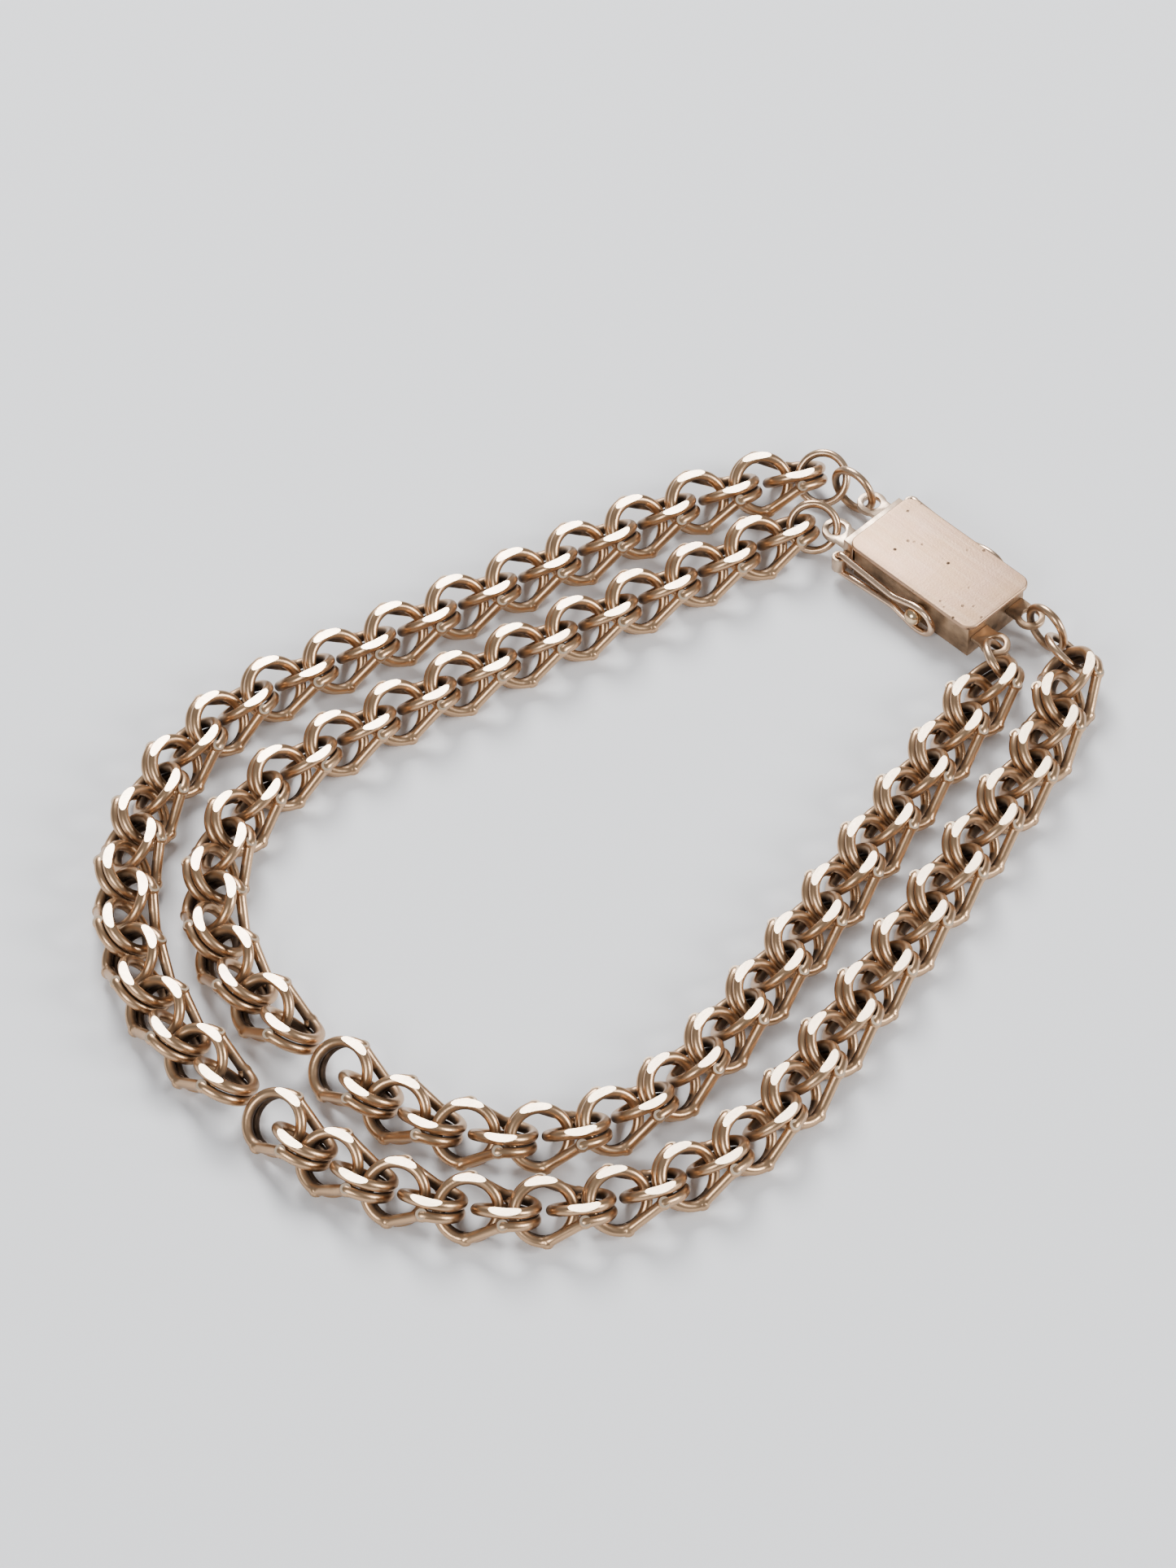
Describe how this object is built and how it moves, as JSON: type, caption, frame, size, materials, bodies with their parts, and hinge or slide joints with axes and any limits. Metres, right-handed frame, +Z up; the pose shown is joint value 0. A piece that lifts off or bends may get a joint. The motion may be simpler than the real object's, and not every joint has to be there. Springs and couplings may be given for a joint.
{
  "type": "two-row chain bracelet",
  "caption": "Closed two-row chain of soldered double-coil links with a rectangular box clasp, spring tongue and figure-of-eight safety catches, laid flat.",
  "frame": {"origin": "on the surface that the chain lies on, under the clasp's case, midway between the lugs of its two ends", "axes": "+Z up; the clasp lies along X with its mouth facing -X; the rows run from it towards -Y"},
  "size_m": [0.0674, 0.0884, 0.0048],
  "materials": {
    "link_gold": "rose gold, filed and worn satin with darker hollows",
    "plate_gold": "rose gold sheet, brushed by wear, fine scratches and pits",
    "clasp_gold": "rose gold sheet and wire, polished by wear"
  },
  "bodies": {
    "clasp_box": {"case": "clasp_gold", "lid_plate": "plate_gold", "case_lugs": "clasp_gold", "catch_balls": "clasp_gold"},
    "tongue": {"tongue_bar": "clasp_gold", "tongue_lugs": "clasp_gold", "lower_leaf": "clasp_gold", "catch_barrels": "clasp_gold"},
    "spring_leaf": {"upper_leaf": "clasp_gold"},
    "catch_front": {"catch_front": "clasp_gold"},
    "catch_back": {"catch_back": "clasp_gold"},
    "ring_inner_left": {"ring_inner_left": "clasp_gold"},
    "inner_left_links_01": {"inner_left_links_01": "link_gold"},
    "inner_left_links_02": {"inner_left_links_02": "link_gold"},
    "inner_left_links_03": {"inner_left_links_03": "link_gold"},
    "inner_left_links_04": {"inner_left_links_04": "link_gold"},
    "inner_left_links_05": {"inner_left_links_05": "link_gold"},
    "inner_left_links_06": {"inner_left_links_06": "link_gold"},
    "inner_left_links_07": {"inner_left_links_07": "link_gold"},
    "ring_outer_left": {"ring_outer_left": "clasp_gold"},
    "ring_second_left": {"ring_second_left": "clasp_gold"},
    "outer_left_links_01": {"outer_left_links_01": "link_gold"},
    "outer_left_links_02": {"outer_left_links_02": "link_gold"},
    "outer_left_links_03": {"outer_left_links_03": "link_gold"},
    "outer_left_links_04": {"outer_left_links_04": "link_gold"},
    "outer_left_links_05": {"outer_left_links_05": "link_gold"},
    "outer_left_links_06": {"outer_left_links_06": "link_gold"},
    "outer_left_links_07": {"outer_left_links_07": "link_gold"},
    "outer_left_links_08": {"outer_left_links_08": "link_gold"},
    "outer_left_links_09": {"outer_left_links_09": "link_gold"},
    "ring_inner_right": {"ring_inner_right": "clasp_gold"},
    "inner_right_links_01": {"inner_right_links_01": "link_gold"},
    "inner_right_links_02": {"inner_right_links_02": "link_gold"},
    "inner_right_links_03": {"inner_right_links_03": "link_gold"},
    "inner_right_links_04": {"inner_right_links_04": "link_gold"},
    "inner_right_links_05": {"inner_right_links_05": "link_gold"},
    "inner_right_links_06": {"inner_right_links_06": "link_gold"},
    "inner_right_links_07": {"inner_right_links_07": "link_gold"},
    "ring_outer_right": {"ring_outer_right": "clasp_gold"},
    "ring_second_right": {"ring_second_right": "clasp_gold"},
    "outer_right_links_01": {"outer_right_links_01": "link_gold"},
    "outer_right_links_02": {"outer_right_links_02": "link_gold"},
    "outer_right_links_03": {"outer_right_links_03": "link_gold"},
    "outer_right_links_04": {"outer_right_links_04": "link_gold"},
    "outer_right_links_05": {"outer_right_links_05": "link_gold"},
    "outer_right_links_06": {"outer_right_links_06": "link_gold"},
    "outer_right_links_07": {"outer_right_links_07": "link_gold"},
    "outer_right_links_08": {"outer_right_links_08": "link_gold"},
    "outer_right_links_09": {"outer_right_links_09": "link_gold"}
  },
  "joints": [
    {"name": "tongue_slide", "type": "slide", "parent": "clasp_box", "child": "tongue", "axis": [-1, 0, 0], "range_m": [0, 0.008]},
    {"name": "leaf_press", "type": "hinge", "parent": "tongue", "child": "spring_leaf", "pos_m": [0.00335, 0, 0.0009], "axis": [0, -1, 0], "range_deg": [0, 4], "stiffness_Nm_per_rad": 0.02},
    {"name": "catch_front_swing", "type": "hinge", "parent": "tongue", "child": "catch_front", "pos_m": [-0.0068, -0.00455, 0.0018], "axis": [0, 0, -1], "range_deg": [0, 65]},
    {"name": "catch_back_swing", "type": "hinge", "parent": "tongue", "child": "catch_back", "pos_m": [-0.0068, 0.00455, 0.0018], "axis": [0, 0, 1], "range_deg": [0, 65]},
    {"name": "ring_inner_left_swing", "type": "hinge", "parent": "tongue", "child": "ring_inner_left", "pos_m": [-0.0093, -0.0022, 0.00205], "axis": [0.5519, -0.8339, 0], "range_deg": [-8, 8]},
    {"name": "inner_left_links_01_fold", "type": "hinge", "parent": "ring_inner_left", "child": "inner_left_links_01", "pos_m": [-0.01147, -0.00333, 0.00205], "axis": [-0.9703, 0.2419, 0], "range_deg": [-10, 10]},
    {"name": "inner_left_links_02_fold", "type": "hinge", "parent": "inner_left_links_01", "child": "inner_left_links_02", "pos_m": [-0.01459, -0.01584, 0.00205], "axis": [0.9703, -0.2419, 0], "range_deg": [-20, 20]},
    {"name": "inner_left_links_03_fold", "type": "hinge", "parent": "inner_left_links_02", "child": "inner_left_links_03", "pos_m": [-0.01749, -0.02749, 0.00205], "axis": [-0.9703, 0.2419, 0], "range_deg": [-20, 20]},
    {"name": "inner_left_links_04_fold", "type": "hinge", "parent": "inner_left_links_03", "child": "inner_left_links_04", "pos_m": [-0.02029, -0.03916, 0.00205], "axis": [0.9763, -0.2164, 0], "range_deg": [-20, 20]},
    {"name": "inner_left_links_05_fold", "type": "hinge", "parent": "inner_left_links_04", "child": "inner_left_links_05", "pos_m": [-0.02258, -0.05093, 0.00205], "axis": [-0.9925, 0.1219, 0], "range_deg": [-20, 20]},
    {"name": "inner_left_links_06_fold", "type": "hinge", "parent": "inner_left_links_05", "child": "inner_left_links_06", "pos_m": [-0.02155, -0.06274, 0.00205], "axis": [0.9135, 0.4067, 0], "range_deg": [-20, 20]},
    {"name": "inner_left_links_07_fold", "type": "hinge", "parent": "inner_left_links_06", "child": "inner_left_links_07", "pos_m": [-0.01334, -0.07124, 0.00205], "axis": [-0.4462, -0.8949, 0], "range_deg": [-20, 20]},
    {"name": "ring_outer_left_swing", "type": "hinge", "parent": "tongue", "child": "ring_outer_left", "pos_m": [-0.0093, 0.0022, 0.00205], "axis": [0.0698, -0.9976, 0], "range_deg": [-8, 8]},
    {"name": "ring_second_left_swing", "type": "hinge", "parent": "ring_outer_left", "child": "ring_second_left", "pos_m": [-0.01285, 0.00195, 0.00205], "axis": [0.284, -0.9588, 0], "range_deg": [-8, 8]},
    {"name": "outer_left_links_01_fold", "type": "hinge", "parent": "ring_second_left", "child": "outer_left_links_01", "pos_m": [-0.01502, 0.00178, 0.00205], "axis": [-0.866, 0.5, 0], "range_deg": [-10, 10]},
    {"name": "outer_left_links_02_fold", "type": "hinge", "parent": "outer_left_links_01", "child": "outer_left_links_02", "pos_m": [-0.02071, -0.00976, 0.00205], "axis": [0.9511, -0.309, 0], "range_deg": [-20, 20]},
    {"name": "outer_left_links_03_fold", "type": "hinge", "parent": "outer_left_links_02", "child": "outer_left_links_03", "pos_m": [-0.02362, -0.0214, 0.00205], "axis": [-0.9703, 0.2419, 0], "range_deg": [-20, 20]},
    {"name": "outer_left_links_04_fold", "type": "hinge", "parent": "outer_left_links_03", "child": "outer_left_links_04", "pos_m": [-0.02652, -0.03305, 0.00205], "axis": [0.9703, -0.2419, 0], "range_deg": [-20, 20]},
    {"name": "outer_left_links_05_fold", "type": "hinge", "parent": "outer_left_links_04", "child": "outer_left_links_05", "pos_m": [-0.02942, -0.04469, 0.00205], "axis": [-0.9703, 0.2419, 0], "range_deg": [-20, 20]},
    {"name": "outer_left_links_06_fold", "type": "hinge", "parent": "outer_left_links_05", "child": "outer_left_links_06", "pos_m": [-0.03098, -0.05651, 0.00205], "axis": [0.9954, 0.0958, 0], "range_deg": [-20, 20]},
    {"name": "outer_left_links_07_fold", "type": "hinge", "parent": "outer_left_links_06", "child": "outer_left_links_07", "pos_m": [-0.0272, -0.06782, 0.00205], "axis": [-0.8526, -0.5225, 0], "range_deg": [-20, 20]},
    {"name": "outer_left_links_08_fold", "type": "hinge", "parent": "outer_left_links_07", "child": "outer_left_links_08", "pos_m": [-0.01884, -0.07632, 0.00205], "axis": [0.5373, 0.8434, 0], "range_deg": [-20, 20]},
    {"name": "outer_left_links_09_fold", "type": "hinge", "parent": "outer_left_links_08", "child": "outer_left_links_09", "pos_m": [-0.0076, -0.0803, 0.00205], "axis": [-0.1132, -0.9936, 0], "range_deg": [-20, 20]},
    {"name": "ring_inner_right_swing", "type": "hinge", "parent": "clasp_box", "child": "ring_inner_right", "pos_m": [0.0093, -0.0022, 0.00205], "axis": [0.5519, 0.8339, 0], "range_deg": [-8, 8]},
    {"name": "inner_right_links_01_fold", "type": "hinge", "parent": "ring_inner_right", "child": "inner_right_links_01", "pos_m": [0.01147, -0.00333, 0.00205], "axis": [-0.9703, -0.2419, 0], "range_deg": [-10, 10]},
    {"name": "inner_right_links_02_fold", "type": "hinge", "parent": "inner_right_links_01", "child": "inner_right_links_02", "pos_m": [0.01459, -0.01584, 0.00205], "axis": [0.9703, 0.2419, 0], "range_deg": [-20, 20]},
    {"name": "inner_right_links_03_fold", "type": "hinge", "parent": "inner_right_links_02", "child": "inner_right_links_03", "pos_m": [0.01749, -0.02749, 0.00205], "axis": [-0.9703, -0.2419, 0], "range_deg": [-20, 20]},
    {"name": "inner_right_links_04_fold", "type": "hinge", "parent": "inner_right_links_03", "child": "inner_right_links_04", "pos_m": [0.02029, -0.03916, 0.00205], "axis": [0.9763, 0.2164, 0], "range_deg": [-20, 20]},
    {"name": "inner_right_links_05_fold", "type": "hinge", "parent": "inner_right_links_04", "child": "inner_right_links_05", "pos_m": [0.02258, -0.05093, 0.00205], "axis": [-0.9925, -0.1219, 0], "range_deg": [-20, 20]},
    {"name": "inner_right_links_06_fold", "type": "hinge", "parent": "inner_right_links_05", "child": "inner_right_links_06", "pos_m": [0.02155, -0.06274, 0.00205], "axis": [0.9135, -0.4067, 0], "range_deg": [-20, 20]},
    {"name": "inner_right_links_07_fold", "type": "hinge", "parent": "inner_right_links_06", "child": "inner_right_links_07", "pos_m": [0.01334, -0.07124, 0.00205], "axis": [-0.4462, 0.8949, 0], "range_deg": [-20, 20]},
    {"name": "ring_outer_right_swing", "type": "hinge", "parent": "clasp_box", "child": "ring_outer_right", "pos_m": [0.0093, 0.0022, 0.00205], "axis": [0.0698, 0.9976, 0], "range_deg": [-8, 8]},
    {"name": "ring_second_right_swing", "type": "hinge", "parent": "ring_outer_right", "child": "ring_second_right", "pos_m": [0.01285, 0.00195, 0.00205], "axis": [0.284, 0.9588, 0], "range_deg": [-8, 8]},
    {"name": "outer_right_links_01_fold", "type": "hinge", "parent": "ring_second_right", "child": "outer_right_links_01", "pos_m": [0.01502, 0.00178, 0.00205], "axis": [-0.866, -0.5, 0], "range_deg": [-10, 10]},
    {"name": "outer_right_links_02_fold", "type": "hinge", "parent": "outer_right_links_01", "child": "outer_right_links_02", "pos_m": [0.02071, -0.00976, 0.00205], "axis": [0.9511, 0.309, 0], "range_deg": [-20, 20]},
    {"name": "outer_right_links_03_fold", "type": "hinge", "parent": "outer_right_links_02", "child": "outer_right_links_03", "pos_m": [0.02362, -0.0214, 0.00205], "axis": [-0.9703, -0.2419, 0], "range_deg": [-20, 20]},
    {"name": "outer_right_links_04_fold", "type": "hinge", "parent": "outer_right_links_03", "child": "outer_right_links_04", "pos_m": [0.02652, -0.03305, 0.00205], "axis": [0.9703, 0.2419, 0], "range_deg": [-20, 20]},
    {"name": "outer_right_links_05_fold", "type": "hinge", "parent": "outer_right_links_04", "child": "outer_right_links_05", "pos_m": [0.02942, -0.04469, 0.00205], "axis": [-0.9703, -0.2419, 0], "range_deg": [-20, 20]},
    {"name": "outer_right_links_06_fold", "type": "hinge", "parent": "outer_right_links_05", "child": "outer_right_links_06", "pos_m": [0.03098, -0.05651, 0.00205], "axis": [0.9954, -0.0958, 0], "range_deg": [-20, 20]},
    {"name": "outer_right_links_07_fold", "type": "hinge", "parent": "outer_right_links_06", "child": "outer_right_links_07", "pos_m": [0.0272, -0.06782, 0.00205], "axis": [-0.8526, 0.5225, 0], "range_deg": [-20, 20]},
    {"name": "outer_right_links_08_fold", "type": "hinge", "parent": "outer_right_links_07", "child": "outer_right_links_08", "pos_m": [0.01884, -0.07632, 0.00205], "axis": [0.5373, -0.8434, 0], "range_deg": [-20, 20]},
    {"name": "outer_right_links_09_fold", "type": "hinge", "parent": "outer_right_links_08", "child": "outer_right_links_09", "pos_m": [0.0076, -0.0803, 0.00205], "axis": [-0.1132, 0.9936, 0], "range_deg": [-20, 20]}
  ],
  "couplings": [
    {"joint": "catch_front_swing", "follows": "tongue_slide", "rad_per_m": 118},
    {"joint": "catch_back_swing", "follows": "tongue_slide", "rad_per_m": 118}
  ]
}
